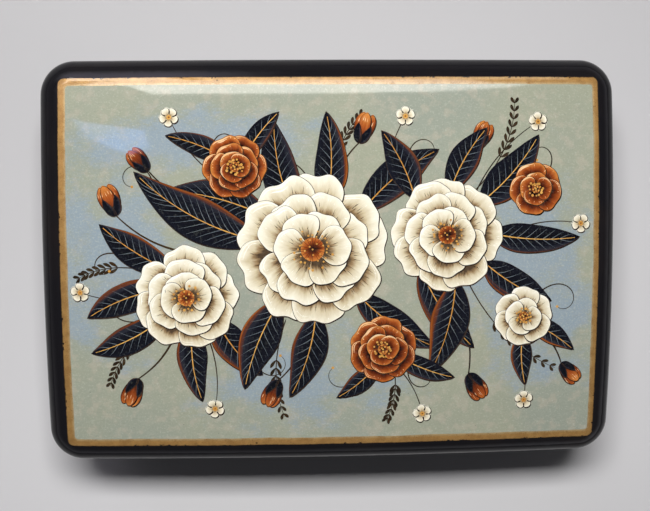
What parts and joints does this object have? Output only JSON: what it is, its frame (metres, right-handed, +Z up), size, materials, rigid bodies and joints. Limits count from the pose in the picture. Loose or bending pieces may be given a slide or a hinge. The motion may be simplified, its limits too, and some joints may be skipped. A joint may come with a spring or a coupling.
{
  "type": "lacquer box",
  "caption": "Oblong papier-mache lacquer box with a crowned, round-edged lid hinged along one long side, a gold-lined picture field and a collar inside.",
  "frame": {"origin": "centre of the footprint, on the underside of the base", "axes": "+X along the long sides, +Y towards the hinged back, +Z up through the lid"},
  "size_m": [0.1, 0.07, 0.0366],
  "materials": {
    "black_lacquer": "gloss",
    "red_lacquer": "gloss",
    "picture_paint": "gloss",
    "gold_paint": "gloss",
    "hinge_brass": "satin",
    "hinge_wire": "satin"
  },
  "bodies": {
    "box": {"base_plate": "black_lacquer", "wall_frame": "black_lacquer", "collar_front": "red_lacquer", "collar_back": "red_lacquer", "collar_left": "red_lacquer", "collar_right": "red_lacquer", "body_hinge_leaf": "hinge_brass", "body_hinge_pins": "hinge_brass", "hinge_wire": "hinge_wire"},
    "lid": {"lid_frame": "black_lacquer", "lid_panel": "black_lacquer", "painted_ground": "picture_paint", "gold_line": "gold_paint", "lid_hinge_leaf": "hinge_brass", "lid_hinge_pins": "hinge_brass"}
  },
  "joints": [
    {"name": "lid_hinge", "type": "hinge", "parent": "box", "child": "lid", "pos_m": [0, 0.0339, 0.02505], "axis": [-1, 0, 0], "range_deg": [0, 105]}
  ]
}
